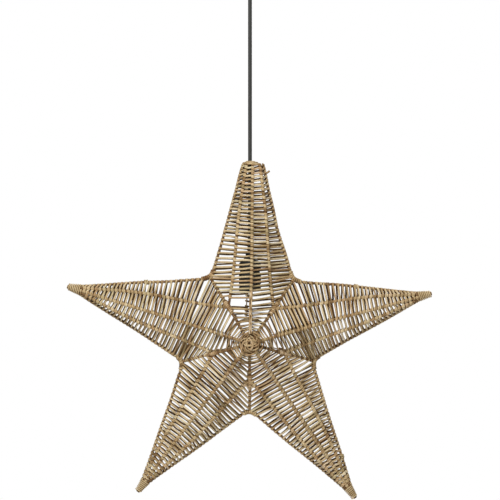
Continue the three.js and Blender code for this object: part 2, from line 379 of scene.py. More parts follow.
def cane_material():
    """Peeled cane: a tone and hue for each strand, fibres along it and patches, with painted shade on the
    sides and on the inner side of each cane.
    """
    material, tree, shader = new_material("woven_cane")
    tone = attribute(tree, "tone")
    hue = attribute(tree, "hue")
    fibre_place = add_node(tree, "ShaderNodeCombineXYZ", {
        "X": math_node(tree, "MULTIPLY", attribute(tree, "along"), FIBRE_ALONG),
        "Y": math_node(tree, "MULTIPLY", attribute(tree, "around"), FIBRE_AROUND),
        "Z": math_node(tree, "MULTIPLY", tone, FIBRE_BY_TONE),
    }).outputs[0]
    fibre = add_node(tree, "ShaderNodeTexNoise",
                     {"Vector": fibre_place, "Scale": 1.0, "Detail": 5.0, "Roughness": 0.65}).outputs["Fac"]
    position = add_node(tree, "ShaderNodeTexCoord").outputs["Object"]
    patch = add_node(tree, "ShaderNodeTexNoise",
                     {"Vector": position, "Scale": 55.0, "Detail": 3.0}).outputs["Fac"]
    patched = math_node(tree, "MULTIPLY_ADD", patch, PATCH_WEIGHT, tone)
    shade = math_node(tree, "MULTIPLY_ADD", fibre, FIBRE_WEIGHT, patched)
    # Painted shade: each cane is darkened towards its two sides.
    side_shaded = math_node(tree, "MULTIPLY_ADD", attribute(tree, "around"), SIDE_SHADE_WEIGHT, shade)
    # Painted shade: the inner side of each cane, which faces into the star, is darkened.
    inner_shaded = math_node(tree, "MULTIPLY_ADD", attribute(tree, "inner"), INNER_SHADE_WEIGHT, side_shaded)
    level = math_node(tree, "SUBTRACT", inner_shaded, TONE_OFFSET)
    straw = colour_ramp(tree, level, [
        (0.0, (0.160, 0.092, 0.036)),
        (0.25, (0.320, 0.210, 0.096)),
        (0.5, (0.480, 0.352, 0.184)),
        (0.75, (0.620, 0.492, 0.296)),
        (1.0, (0.780, 0.668, 0.465)),
    ])
    olive = colour_ramp(tree, level, [
        (0.0, (0.150, 0.098, 0.038)),
        (0.5, (0.460, 0.355, 0.184)),
        (1.0, (0.755, 0.655, 0.445)),
    ])
    rusty = colour_ramp(tree, level, [
        (0.0, (0.168, 0.084, 0.030)),
        (0.5, (0.455, 0.302, 0.150)),
        (1.0, (0.750, 0.610, 0.420)),
    ])
    is_olive = math_node(tree, "GREATER_THAN", hue, OLIVE_FROM)
    is_rusty = math_node(tree, "LESS_THAN", hue, RUSTY_TO)
    mixed = add_node(tree, "ShaderNodeMixRGB", {"Fac": is_olive, "Color1": straw, "Color2": olive})
    mixed = add_node(tree, "ShaderNodeMixRGB",
                     {"Fac": is_rusty, "Color1": mixed.outputs[0], "Color2": rusty})
    tree.links.new(mixed.outputs[0], shader.inputs["Base Color"])
    roughness = add_node(tree, "ShaderNodeMapRange",
                         {"Value": fibre, "To Min": 0.55, "To Max": 0.8}).outputs[0]
    tree.links.new(roughness, shader.inputs["Roughness"])
    shader.inputs["Specular IOR Level"].default_value = 0.2
    bump = add_node(tree, "ShaderNodeBump", {"Height": fibre, "Strength": 0.35, "Distance": 0.0003})
    tree.links.new(bump.outputs[0], shader.inputs["Normal"])
    return material


def plastic_material(name, colour, scuffed):
    """Satin moulded plastic with a fine skin and faint scuffs."""
    material, tree, shader = new_material(name)
    position = add_node(tree, "ShaderNodeTexCoord").outputs["Object"]
    skin = add_node(tree, "ShaderNodeTexNoise",
                    {"Vector": position, "Scale": 2200.0, "Detail": 2.0}).outputs["Fac"]
    scuff = add_node(tree, "ShaderNodeTexNoise",
                     {"Vector": position, "Scale": 140.0, "Detail": 6.0, "Roughness": 0.7}).outputs["Fac"]
    tint = colour_ramp(tree, scuff, [(0.35, colour), (0.75, scuffed)])
    tree.links.new(tint, shader.inputs["Base Color"])
    roughness = add_node(tree, "ShaderNodeMapRange",
                         {"Value": scuff, "To Min": 0.45, "To Max": 0.70}).outputs[0]
    tree.links.new(roughness, shader.inputs["Roughness"])
    bump = add_node(tree, "ShaderNodeBump", {"Height": skin, "Strength": 0.2, "Distance": 0.0001})
    tree.links.new(bump.outputs[0], shader.inputs["Normal"])
    return material


def flex_material():
    """Dark grey braided flex: two sets of threads wound round it in opposite senses, with painted shade in
    the grooves between them.
    """
    material, tree, shader = new_material("dark_flex")
    position = add_node(tree, "ShaderNodeTexCoord").outputs["Object"]
    parts = add_node(tree, "ShaderNodeSeparateXYZ", {"Vector": position})
    angle = math_node(tree, "ARCTAN2", parts.outputs["Y"], parts.outputs["X"])
    around = math_node(tree, "MULTIPLY", angle, BRAID_THREADS)
    rise = math_node(tree, "MULTIPLY", parts.outputs["Z"], BRAID_RATE)
    one_way = math_node(tree, "SINE", math_node(tree, "ADD", around, rise))
    other_way = math_node(tree, "SINE", math_node(tree, "SUBTRACT", around, rise))
    braid = math_node(tree, "MULTIPLY", one_way, other_way)
    height = add_node(tree, "ShaderNodeMapRange", {"Value": braid, "From Min": -1.0}).outputs[0]
    fade = add_node(tree, "ShaderNodeTexNoise",
                    {"Vector": position, "Scale": 60.0, "Detail": 3.0}).outputs["Fac"]
    level = math_node(tree, "MULTIPLY", height, fade)
    # Painted shade: the grooves between the threads are darker than their crowns, and a noise fades this in
    # patches.
    tint = colour_ramp(tree, level, [(0.1, (0.019, 0.019, 0.016)), (0.6, (0.033, 0.033, 0.028))])
    tree.links.new(tint, shader.inputs["Base Color"])
    shader.inputs["Roughness"].default_value = 0.62
    bump = add_node(tree, "ShaderNodeBump", {"Height": height, "Strength": 0.5, "Distance": 0.0002})
    tree.links.new(bump.outputs[0], shader.inputs["Normal"])
    return material


CANE = cane_material()
BLACK_PLASTIC = plastic_material("black_plastic", (0.012, 0.013, 0.013), (0.030, 0.031, 0.030))
FLEX = flex_material()


# Camera and cable

def make_camera():
    data = bpy.data.cameras.new("camera")
    data.sensor_width = SENSOR_MM
    data.lens = SENSOR_MM * CAMERA_DISTANCE / VIEW_WIDTH
    camera = add_object("camera", data)
    camera.location = (0.0, -CAMERA_DISTANCE, CAMERA_HEIGHT)
    camera.rotation_euler = (math.pi / 2, 0.0, 0.0)
    bpy.context.scene.camera = camera


def make_cable():
    curve = bpy.data.curves.new("flex", "CURVE")
    curve.dimensions = "3D"
    curve.bevel_depth = CABLE_DIAMETER / 2
    curve.bevel_resolution = 6
    curve.use_fill_caps = True
    spline = curve.splines.new("POLY")
    spline.points.add(CABLE_POINTS - 1)
    for point, height in zip(spline.points, np.linspace(CABLE_BOTTOM, CABLE_TOP, CABLE_POINTS)):
        point.co = (0.0, 0.0, height, 1.0)
    curve.materials.append(FLEX)
    return place_piece(add_object("hanging_flex", curve), "cable", "cable")


# Swept canes

class Strands:
    """Collects swept canes into one mesh, with the attributes that the cane material reads."""

    def __init__(self):
        self.points = []
        self.faces = []
        self.values = {"tone": [], "hue": [], "along": [], "around": [], "inner": []}
        self.count = 0

    def add(self, path, outward, width=CANE_WIDTH, thickness=CANE_THICKNESS, tone=None, hue=None):
        tone = rng.beta(*CANE_TONES) if tone is None else tone
        hue = rng.random() if hue is None else hue
        path = np.asarray(path)
        tangent = np.gradient(path, axis=0)
        tangent /= np.linalg.norm(tangent, axis=1, keepdims=True)
        side = np.cross(tangent, outward)
        side /= np.linalg.norm(side, axis=1, keepdims=True)
        top = np.cross(side, tangent)
        angle = 2 * math.pi * (np.arange(CANE_SIDES) + 0.5) / CANE_SIDES
        ring = (side[:, None, :] * (np.cos(angle) * width / 2)[None, :, None]
                + top[:, None, :] * (np.sin(angle) * thickness / 2)[None, :, None])
        self.points.append((path[:, None, :] + ring).reshape(-1, 3))
        self.faces.append(self.count + self.tube_faces(len(path)))
        self.count += len(path) * CANE_SIDES
        along = distances(path) + 10 * rng.random()
        self.values["tone"].append(np.repeat(np.broadcast_to(tone, len(path)), CANE_SIDES))
        self.values["hue"].append(np.full(len(path) * CANE_SIDES, hue))
        self.values["along"].append(np.repeat(along, CANE_SIDES))
        # around is greatest at the two sides of a cane and also places its fibres; inner marks its inner
        # half. The cane material darkens both as painted shade.
        self.values["around"].append(np.tile(np.abs(np.cos(angle)), len(path)))
        self.values["inner"].append(np.tile(np.maximum(0.0, -np.sin(angle)), len(path)))

    @staticmethod
    def tube_faces(rings):
        """Quads of a tube of rings, with each end closed by three quads."""
        here = np.arange(CANE_SIDES)
        following = (here + 1) % CANE_SIDES
        start = CANE_SIDES * np.arange(rings - 1)[:, None]
        sides = np.stack([start + here, start + CANE_SIDES + here,
                          start + CANE_SIDES + following, start + following], axis=-1).reshape(-1, 4)
        cap = np.array([[0, 1, 2, 3], [0, 3, 4, 7], [4, 5, 6, 7]])
        return np.concatenate([sides, cap, cap[:, ::-1] + CANE_SIDES * (rings - 1)])

    def finish(self, name, slot, *nodes):
        points = np.concatenate(self.points)
        faces = np.concatenate(self.faces)
        mesh = bpy.data.meshes.new(name)
        mesh.from_pydata(points.tolist(), [], faces.tolist())
        mesh.shade_smooth()
        for key, values in self.values.items():
            layer = mesh.attributes.new(key, "FLOAT", "POINT")
            layer.data.foreach_set("value", np.concatenate(values).astype(np.float32))
        mesh.materials.append(CANE)
        place_piece(add_object(name, mesh), slot, *nodes)


# Stakes

class Stake:
    """A stake from its root towards an arm's tip, with a slow hand-made wander and bends off its line."""

    def __init__(self, root, tip, bends=(), drawn_in=False):
        self.root = root
        self.line = tip - root
        self.bends = bends
        self.drawn_in = drawn_in
        self.sideways = unit(np.cross(self.line, BACKWARD))
        self.phase = 2 * math.pi * rng.random()

    def point(self, share):
        wave = STAKE_WANDER * np.sin(math.pi * share) * np.sin(WANDER_RATE * share + self.phase)
        place = self.root + self.line * share + self.sideways * wave
        for offset, profile in self.bends:
            place = place + offset * profile(share)
        return draw_in(place) if self.drawn_in else place

    def points(self, start, stop, step=STAKE_STEP):
        count = max(4, 1 + round(np.linalg.norm(self.line) * abs(stop - start) / step))
        return np.array([self.point(share) for share in np.linspace(start, stop, count)])

    def direction(self, share):
        return unit(self.point(share + DIRECTION_STEP) - self.point(share - DIRECTION_STEP))

    def share_at(self, axis, station):
        """The share of the stake's length at a station along its arm."""
        share = 0.5
        for _ in range(SOLVER_STEPS):
            share += (station - (self.point(share) - HUB).dot(axis)) / self.line.dot(axis)
        return share

    def draw(self, strands, start, stop, tone):
        path = self.points(start, stop)
        outward = FORWARD + STAKE_TWIST * self.sideways
        strands.add(path, outward, 2 * STAKE_RADIUS, 2 * STAKE_RADIUS, tone)


def draw_in(place):
    """Swells the top arm a little below its blunt end, and then draws it in towards its axis."""
    arm = ARMS[0]
    axis = heading(arm["bearing"])
    station = (place - HUB).dot(axis)
    share = np.clip((station - arm["end"] + DOME_LENGTH) / DOME_LENGTH, 0.0, 1.0)
    on_axis = HUB + axis * station
    swell = 1 + DOME_SWELL * smooth_step(*DOME_SWELL_STATIONS, station)
    return on_axis + (place - on_axis) * swell * math.sqrt(1 - DOME_CLOSURE * share ** 2)


def notch_bottom(notch):
    return on_bearing(notch["bearing"], notch["reach"] + NOTCH_ROUNDING / 2)


def build_stakes():
    """Every stake of the star, keyed by what it is."""
    stakes = {}
    for index, arm in enumerate(ARMS):
        top = arm["name"] == "top_arm"
        tip = on_bearing(arm["bearing"], arm["reach"])
        for face in (FRONT, BACK):
            skew = [(BACK_RIDGE_SKEW, lambda share: 1 - share)] if top and face == BACK else []
            stakes["ridge", index, face] = Stake(on_bearing(0, 0, face * HUB_DEPTH), tip, skew, top)
        for side in (0, 1):
            notch = NOTCHES[index - 1 + side]
            stakes["edge", index, side] = edge_stake(arm, side, notch, tip, top)
            for face in (FRONT, BACK):
                stakes["flank", index, side, face] = flank_stake(arm, notch, tip, face, top)
    for index, notch in enumerate(NOTCHES):
        for face in (FRONT, BACK):
            stakes["valley", index, face] = Stake(on_bearing(0, 0, face * HUB_DEPTH), notch_bottom(notch))
    return stakes


def edge_stake(arm, side, notch, tip, top):
    """An edge from a rounded notch to the tip, with a curve into the notch and a slight bow."""
    outward = heading(notch["bearing"])
    corner = on_bearing(notch["bearing"], notch["reach"] - NOTCH_ROUNDING / 2)
    curve = 2 * NOTCH_ROUNDING / (tip - corner).dot(outward)
    rounding = (outward * NOTCH_ROUNDING, lambda share: max(0.0, 1 - max(0.0, share) / curve) ** 2)
    sideways = heading(arm["bearing"] + (90 if side else -90))
    bow = (sideways * arm["bow"][side], lambda share: math.exp(-((share - BOW_PLACE) / BOW_SPREAD) ** 2))
    return Stake(corner, tip, [rounding, bow], top)


def flank_stake(arm, notch, tip, face, top):
    """A stake that leaves the valley part of the way out and swells off the flat of the facet."""
    hub = on_bearing(0, 0, face * HUB_DEPTH)
    bottom = notch_bottom(notch)
    outward = unit(np.cross(bottom - hub, tip - hub))
    outward *= np.sign(outward[1] * face)
    breadth = np.linalg.norm(np.cross(bottom - HUB, heading(arm["bearing"])))
    swell = (outward * breadth * FLANK_SWELL,
             lambda share: (1 - share) * smooth_step(*FLANK_SWELL_SHARES, share))
    return Stake(hub + (bottom - hub) * FLANK_SHARE, tip, [swell], top)


# Weave

def wrap(place, axis, outward, travel, turn_from, turn_to, slide_from, slide_to):
    """Points and outward directions of a cane wound round a stake."""
    top = unit(outward - axis * outward.dot(axis))
    across = travel - axis * travel.dot(axis)
    across = unit(across - top * across.dot(top))
    steps = max(3, round(abs(turn_to - turn_from) / WRAP_ANGLE_STEP))
    turns = np.linspace(turn_from, turn_to, steps + 1)
    slides = np.linspace(slide_from, slide_to, steps + 1)
    radial = np.outer(np.cos(turns), top) + np.outer(np.sin(turns), across)
    return place + np.outer(slides, axis) + radial * WRAP_RADIUS, radial


def bowed_span(start, stop, outward, axis):
    """Inner points of a span between two stakes, not quite straight."""
    hump = np.sin(math.pi * SPAN_SHARES)
    bow = rng.normal(0.0, SPAN_BOW) * outward + rng.normal(0.0, SPAN_BOW) * axis
    return start + (stop - start) * SPAN_SHARES + hump * bow


def lay_row(strands, crossings, face, slant, outer_shade, fineness):
    """One cane from a ridge outwards, wound once round each stake that it crosses."""
    places = [stake.point(share) for stake, share in crossings]
    axes = [stake.direction(share) for stake, share in crossings]
    legs = [second - first for first, second in zip(places, places[1:])]
    outs = []
    for leg, first, second in zip(legs, axes, axes[1:]):
        outward = unit(np.cross(leg, first + second))
        outs.append(outward * np.sign(outward[1] * face))
    grip = slant * CANE_WIDTH * GRIP_SHARE
    path, outward = wrap(places[0], axes[0], outs[0], legs[0], -TUCKED_TURN, ATTACH_TURN, 0.0, grip)
    paths, outwards, shades = [path], [outward], [np.full(len(path), WRAP_SHADE)]
    for index in range(1, len(places)):
        last = index == len(places) - 1
        turn_to = TUCKED_TURN
        if not last:
            fold = np.cross(outs[index - 1], outs[index]).dot(axes[index])
            sense = np.sign(np.cross(outs[index - 1], legs[index - 1]).dot(axes[index]))
            turn_to = 2 * math.pi + math.asin(np.clip(fold * sense, -1, 1)) + ATTACH_TURN
        path, outward = wrap(places[index], axes[index], outs[index - 1], legs[index - 1],
                             -ATTACH_TURN, turn_to, -grip, 0.0 if last else grip)
        middle = bowed_span(paths[-1][-1], path[0], outs[index - 1], axes[index])
        paths += [middle, path]
        outwards += [np.tile(outs[index - 1], (len(middle), 1)), outward]
        shades += [np.zeros(len(middle)), np.full(len(path), outer_shade if last else WRAP_SHADE)]
    width = CANE_WIDTH * (1 - (1 - FINE_CANE_SHARE) * fineness) * rng.normal(1.0, CANE_UNEVENNESS)
    # A row is darker on its turns round stakes, and near the hub as painted shade.
    tone = rng.beta(*CANE_TONES) - HUB_ROW_PAINTED_SHADE * fineness - np.concatenate(shades)
    strands.add(np.concatenate(paths), np.concatenate(outwards), width=width, tone=tone)


def lay_under(strands, crossings, spread):
    """A very dark cane behind the front stakes, in the gap beyond a row near the hub: painted shade between
    the rows.
    """
    first, last = (stake.point(share * spread) for stake, share in (crossings[0], crossings[-1]))
    path = first + (last - first) * UNDERLAY_SPAN + BACKWARD * UNDERLAY_DEPTH
    strands.add(path, FORWARD, width=UNDERLAY_WIDTH,
                tone=rng.normal(UNDERLAY_SHADE_TONE, UNDERLAY_UNEVENNESS), hue=RUSTY_HUE)


def meet(stake, axis, across, station, slope, bend):
    """The share of a stake's length at which a row reaches it."""
    share = 0.5
    rise = stake.line.dot(axis)
    for _ in range(SOLVER_STEPS):
        place = stake.point(share) - HUB
        lateral = place.dot(across)
        share += (station + slope * lateral + bend * lateral ** 2 - place.dot(axis)) / rise
    return share


def back_phase(arm, station):
    """How far the rows of the back lie beyond those of the front at a station, in rows."""
    by_hub, along, by_tip = arm["back_phase"]
    return (by_hub + (along - by_hub) * smooth_step(*PHASE_STATIONS[0], station)
            + (by_tip - along) * smooth_step(*PHASE_STATIONS[1], station))


def row_stations(arm, face):
    """Where rows cross a ridge: close together by the hub, and far apart below the lampholder."""
    top = arm["name"] == "top_arm"
    last = arm["end"] - (TOP_ROW_MARGIN if top else TIP_LENGTH - CANE_WIDTH)
    sparse_from, sparse_to = SPARSE_STATIONS
    station = FIRST_ROW[FRONT]
    while station < last:
        pitch = HUB_ROW_PITCH + (ROW_PITCH - HUB_ROW_PITCH) * smooth_step(*HUB_ROW_STATIONS, station)
        if top and sparse_from <= station < sparse_to:
            pitch = SPARSE_PITCH
        elif top and station < sparse_from <= station + pitch:
            pitch = sparse_from - station
        place = station + (pitch * back_phase(arm, station) if face == BACK else 0.0)
        if FIRST_ROW[face] <= place < last:
            yield place
        station += pitch


def weave_facet(strands, stakes, index, side, face):
    """The rows between a ridge and one edge, or the valley where the arm joins its neighbour."""
    arm = ARMS[index]
    front_lean, back_lean = arm["lean"]
    lean = front_lean if face == FRONT else back_lean
    notch_index = (index - 1 + side) % len(NOTCHES)
    sense = 1 if side else -1
    axis = heading(arm["bearing"])
    across = sense * heading(arm["bearing"] + 90)
    ridge = stakes["ridge", index, face]
    flank = stakes["flank", index, side, face]
    edge = stakes["edge", index, side]
    valley = stakes["valley", notch_index, face]
    bottom = notch_bottom(NOTCHES[notch_index]) - HUB
    for base_station in row_stations(arm, face):
        if arm["name"] == "top_arm" and side == 0 and CLEAR_CELL[0] < base_station < CLEAR_CELL[1]:
            continue
        station = base_station + rng.normal(0.0, ROW_JITTER)
        roundness = 1 + (CHORD_ROUNDNESS - 1) * smooth_step(*CHORD_STATIONS, station)
        valley_share = station * roundness / np.linalg.norm(bottom)
        if valley_share < LAST_VALLEY_SHARE:
            outer, outer_share = valley, valley_share
            slope = (valley_share * bottom.dot(axis) - station) / (valley_share * bottom.dot(across))
            bend = 0.0
        else:
            blend = smooth_step(*LEAN_STATIONS, station)
            slope = sense * lean * blend
            bend = TIP_ARC_SHARE * blend / (2 * (arm["reach"] + TIP_ARC_MARGIN - station))
            outer = edge
            outer_share = max(FIRST_EDGE_SHARE, meet(edge, axis, across, station, slope, bend))
        ridge_share = ridge.share_at(axis, station)
        crossings = [(ridge, ridge_share)]
        flank_share = meet(flank, axis, across, station, slope, bend) + rng.normal(0.0, CROSSING_JITTER)
        outer_share += rng.normal(0.0, CROSSING_JITTER)
        if flank_share > 0.0:
            place = flank.point(flank_share)
            room = min(np.linalg.norm(place - ridge.point(ridge_share)),
                       np.linalg.norm(place - outer.point(outer_share)))
            if room > CLOSEST_STAKES:
                crossings.append((flank, flank_share))
        crossings.append((outer, outer_share))
        # A turn in a valley gets painted shade.
        shade = VALLEY_PAINTED_SHADE if outer is valley else WRAP_SHADE
        fineness = 1 - smooth_step(*FINE_CANE_STATIONS, station)
        lay_row(strands, crossings, face, sense * arm["slant"], shade, fineness)
        if face == FRONT and station < UNDERLAY_END and rng.random() < UNDERLAY_SHARE:
            lay_under(strands, crossings, 1 + 0.5 * HUB_ROW_PITCH / station)


def weave_arm(stakes, index):
    arm = ARMS[index]
    strands = Strands()
    nodes = []
    for side, side_name in enumerate(arm["sides"]):
        for face_name, face in FACES.items():
            weave_facet(strands, stakes, index, side, face)
            nodes.append(f"{arm['name']}_{face_name}_{side_name}_weave")
    strands.finish(f"{arm['name']}_weave", "weave", *nodes)


def draw_arm_stakes(stakes, index):
    arm = ARMS[index]
    strands = Strands()
    nodes = []
    axis = heading(arm["bearing"])
    margin = TOP_STAKE_MARGIN if arm["name"] == "top_arm" else STAKE_MARGIN
    last = min(arm["end"], arm["reach"]) - margin
    for face_name, face in FACES.items():
        ridge = stakes["ridge", index, face]
        start = (FIRST_ROW[face] - STAKE_LEAD) / arm["reach"]
        ridge.draw(strands, start, ridge.share_at(axis, last), STAKE_TONE)
        nodes.append(f"{arm['name']}_{face_name}_ridge_stake")
        if face == FRONT:
            bind_stake(strands, ridge, BAND_START / arm["reach"], ridge.share_at(axis, last))
        for side in (0, 1):
            flank = stakes["flank", index, side, face]
            flank.draw(strands, FLANK_START, flank.share_at(axis, last), STAKE_TONE)
            if face == FRONT:
                bind_stake(strands, flank, 0.0, flank.share_at(axis, last))
    for side, side_name in enumerate(arm["sides"]):
        edge = stakes["edge", index, side]
        edge.draw(strands, 0.0, edge.share_at(axis, last), STAKE_TONE)
        bind_stake(strands, edge, NOTCH_BINDING, edge.share_at(axis, last))
        nodes.append(f"{arm['name']}_{side_name}_edge_stake")
    strands.finish(f"{arm['name']}_stakes", "stakes", *nodes)


def draw_valley_stakes(stakes):
    strands = Strands()
    nodes = []
    for index, notch in enumerate(NOTCHES):
        for face_name, face in FACES.items():
            start = (FIRST_ROW[face] - STAKE_LEAD) / notch["reach"]
            valley = stakes["valley", index, face]
            valley.draw(strands, start, 1.0, VALLEY_STAKE_TONE)
            if face == FRONT:
                bind_stake(strands, valley, BAND_START / notch["reach"], 1.0)
            nodes.append(f"{notch['name']}_{face_name}_valley_stake")
    strands.finish("valley_stakes", "stakes", *nodes)


# Bound ends, knot, hoop and bindings

def coil(strands, base, axis, heights, radii, drift, **looks):
    """A cane wound round an axis, with a height, a radius and a drift off the axis for each step."""
    first = unit(np.cross(axis, BACKWARD))
    second = np.cross(axis, first)
    angle = 2 * math.pi * np.arange(len(heights)) / COIL_STEPS
    radial = np.outer(np.cos(angle), first) + np.outer(np.sin(angle), second)
    path = base + np.outer(heights, axis) + radial * radii[:, None] + drift
    slope = np.gradient(radii) / np.maximum(np.abs(np.gradient(heights)), TINY)
    strands.add(path, radial - slope[:, None] * axis, **looks)


def bind_along(strands, middle, radius, pitch, tone=BAND_TONE, **looks):
    """A cane wound closely along a path of points, each turn with a tone of its own."""
    travelled = distances(middle)
    place = np.linspace(0.0, travelled[-1], round(BIND_STEPS * travelled[-1] / pitch))
    core = np.stack([np.interp(place, travelled, middle[:, i]) for i in range(3)], axis=1)
    along = np.gradient(core, axis=0)
    along /= np.linalg.norm(along, axis=1, keepdims=True)
    first = np.cross(along, BACKWARD)
    first /= np.linalg.norm(first, axis=1, keepdims=True)
    second = np.cross(along, first)
    angle = (2 * math.pi * place / pitch)[:, None]
    radial = first * np.cos(angle) + second * np.sin(angle)
    turn_tones = rng.normal(tone, BAND_UNEVENNESS, 1 + math.ceil(travelled[-1] / pitch))
    tones = np.interp(place / pitch, np.arange(len(turn_tones)), turn_tones)
    strands.add(core + radial * radius, radial, tone=tones, **looks)


def bind_stake(strands, stake, start, stop):
    """The flat cane that covers a stake between the turns of the rows."""
    bind_along(strands, stake.points(start, stop, BAND_PITCH), BAND_RADIUS, BAND_PITCH,
               hue=RUSTY_HUE, width=BAND_WIDTH, thickness=BAND_THICKNESS)


def bind_tip(index):
    """The last rings of an arm, wound closely over the gathered stakes and closed at the end."""
    arm = ARMS[index]
    strands = Strands()
    axis = heading(arm["bearing"])
    across = heading(arm["bearing"] + 90)
    rise = np.linspace(0.0, TIP_LENGTH, round(COIL_STEPS * TIP_LENGTH / TIP_COIL_PITCH))
    heights = np.concatenate([rise, np.full(COIL_STEPS, TIP_LENGTH)])
    base_station = arm["end"] - TIP_LENGTH
    to_tip = np.maximum(arm["reach"] - base_station - heights, 0.0)
    edges = []
    for notch in (NOTCHES[index - 1], NOTCHES[index]):
        corner = on_bearing(notch["bearing"], notch["reach"] - NOTCH_ROUNDING / 2) - HUB
        edges.append(to_tip * corner.dot(across) / (arm["reach"] - corner.dot(axis)))
    radii = (edges[1] - edges[0]) / 2 + np.interp(heights, [0.0, TIP_LENGTH], TIP_COVER)
    rounding = np.clip((heights - TIP_LENGTH + TIP_ROUNDING) / TIP_ROUNDING, 0.0, TIP_MOST_ROUNDED)
    radii = radii * np.sqrt(1 - rounding ** 2)
    radii[-COIL_STEPS:] *= np.linspace(*TIP_CLOSING, COIL_STEPS)
    drift = np.outer((edges[0] + edges[1]) / 2, across)
    turns = np.arange(len(heights)) / COIL_STEPS
    quick, slow = TIP_WAVE_RATES
    tone = rng.uniform(*TIP_TONES) + TIP_TONE_WAVE * np.sin(quick * turns) * np.sin(slow * turns + index)
    coil(strands, on_bearing(arm["bearing"], base_station), axis, heights, radii, drift,
         width=TIP_CANE_WIDTH, thickness=TIP_CANE_THICKNESS, tone=tone, hue=STRAW_HUE)
    strands.finish(f"{arm['name']}_bound_tip", "weave", f"{arm['name']}_wrapped_tip")


def bind_collar():
    """The close turns that draw the top arm in round the cable."""
    arm = ARMS[0]
    strands = Strands()
    axis = heading(arm["bearing"])
    turns = (COLLAR_RADIUS - COLLAR_HOLE_RADIUS) / COIL_PITCH
    radii = np.linspace(COLLAR_RADIUS, COLLAR_HOLE_RADIUS, round(COIL_STEPS * turns))
    drawn = (COLLAR_RADIUS - radii) / (COLLAR_RADIUS - COLLAR_HOLE_RADIUS)
    heights = COLLAR_CROWN * np.sin(0.5 * math.pi * drawn)
    base = on_bearing(arm["bearing"], arm["end"] - COLLAR_DROP)
    drift = np.outer(drawn, [HUB[0] - base[0], 0.0, 0.0])
    coil(strands, base, axis, heights, radii, drift)
    strands.finish("top_arm_bound_collar", "weave", "top_arm_collar")


def tie_knot():
    """The knot at the hub: uneven rings of cane on a dark backing, with loops crossed over them."""
    strands = Strands()

    def lay(across, up, lift, **looks):
        distance = np.hypot(across, up)
        depth = -(KNOT_DEPTH + KNOT_CROWN * (1 - (distance / KNOT_RADIUS) ** 2) + lift)
        path = HUB + np.stack([across, depth, up], axis=1)
        strands.add(path, FORWARD, **looks)

    for radius in np.arange(BACKING_START, KNOT_RADIUS, BACKING_PITCH):
        angle = np.linspace(0.0, 2 * math.pi, KNOT_STEPS)
        lay(radius * np.sin(angle), radius * np.cos(angle), np.full(KNOT_STEPS, -BACKING_DROP),
            tone=BACKING_TONE, hue=RUSTY_HUE)
    for radius in np.arange(RING_START, KNOT_RADIUS + COIL_PITCH, COIL_PITCH):
        phase = 2 * math.pi * rng.random()
        angle = phase + np.linspace(0.0, RING_TURN, KNOT_STEPS)
        uneven = radius * (1 + RING_WAVE * np.sin(2 * angle + phase)) + RING_GROWTH * (angle - phase)
        lift = RING_LIFT * np.sin(3 * angle + 2 * phase)
        lay(uneven * np.sin(angle), uneven * np.cos(angle), lift,
            width=KNOT_CANE_WIDTH, tone=rng.uniform(*RING_TONES), hue=RUSTY_HUE)
    for loop in range(LOOPS):
        bearing = 2 * math.pi * (loop + LOOP_JITTER * rng.random()) / LOOPS
        radius = KNOT_RADIUS * rng.uniform(*LOOP_RADII)
        offset = KNOT_RADIUS * rng.uniform(*LOOP_OFFSETS)
        angle = bearing + rng.uniform(*LOOP_STARTS) + np.linspace(0.0, LOOP_TURN, LOOP_STEPS)
        lift = LOOP_LIFT + LOOP_WAVE * np.sin(2.5 * angle + loop)
        lay(offset * math.sin(bearing) + radius * np.sin(angle),
            offset * math.cos(bearing) + radius * np.cos(angle), lift,
            width=KNOT_CANE_WIDTH, tone=rng.uniform(*LOOP_TONES), hue=rng.choice([RUSTY_HUE, STRAW_HUE]))
    strands.finish("hub_cane_knot", "weave", "hub_knot")


def hoop_points(bearings):
    """The hoop round the opening in the back: it rises at each ridge and sinks at each valley."""
    tip_reach = np.mean([arm["reach"] for arm in ARMS])
    corner_reach = np.mean([notch["reach"] for notch in NOTCHES])
    high = HUB_DEPTH * (1 - HOOP_RADIUS / tip_reach)
    low = HUB_DEPTH * (1 - HOOP_RADIUS / corner_reach)
    wave = np.cos(np.radians(len(ARMS) * (bearings - ARMS[0]["bearing"])))
    depth = (high + low) / 2 + wave * (high - low) / 2
    angle = np.radians(bearings)
    return HUB + np.stack([HOOP_RADIUS * np.sin(angle), depth, HOOP_RADIUS * np.cos(angle)], axis=1)


def bind_hoop():
    """The hoop, bound with cane from end to end."""
    strands = Strands()
    middle = hoop_points(HOOP_BEARINGS)
    strands.add(middle, BACKWARD, 2 * STAKE_RADIUS, 2 * STAKE_RADIUS, HOOP_TONE)
    bind_along(strands, middle, WRAP_RADIUS, CANE_WIDTH, tone=HOOP_BINDING_TONE)
    strands.finish("back_opening_bound_hoop", "stakes", "back_opening_hoop")


def bind_joints(strands, stakes):
    """Turns of cane round each notch, and where the flanks leave the valleys."""
    for index in range(len(NOTCHES)):
        following = (index + 1) % len(ARMS)
        before = stakes["edge", index, 1].points(NOTCH_BINDING, 0.0, BINDING_STEP)
        after = stakes["edge", following, 0].points(0.0, NOTCH_BINDING, BINDING_STEP)
        bind_along(strands, np.concatenate([before, after[1:]]), NOTCH_BINDING_RADIUS, CANE_WIDTH,
                   tone=NOTCH_BINDING_TONE)
        for face in (FRONT, BACK):
            valley = stakes["valley", index, face].points(*FLANK_BINDING, BINDING_STEP)
            bind_along(strands, valley, FLANK_BINDING_RADIUS, CANE_WIDTH,
                       tone=rng.uniform(*FLANK_BINDING_TONES), hue=RUSTY_HUE)


def bind_joins(strands, stakes):
    """A few turns where one cane follows another on an edge."""
    for index, side, station in JOINS:
        edge = stakes["edge", index, side]
        share = edge.share_at(heading(ARMS[index]["bearing"]), station)
        bind_along(strands, edge.points(share - JOIN_HALF_SHARE, share + JOIN_HALF_SHARE, BINDING_STEP),
                   JOIN_RADIUS, CANE_WIDTH, tone=JOIN_TONE)


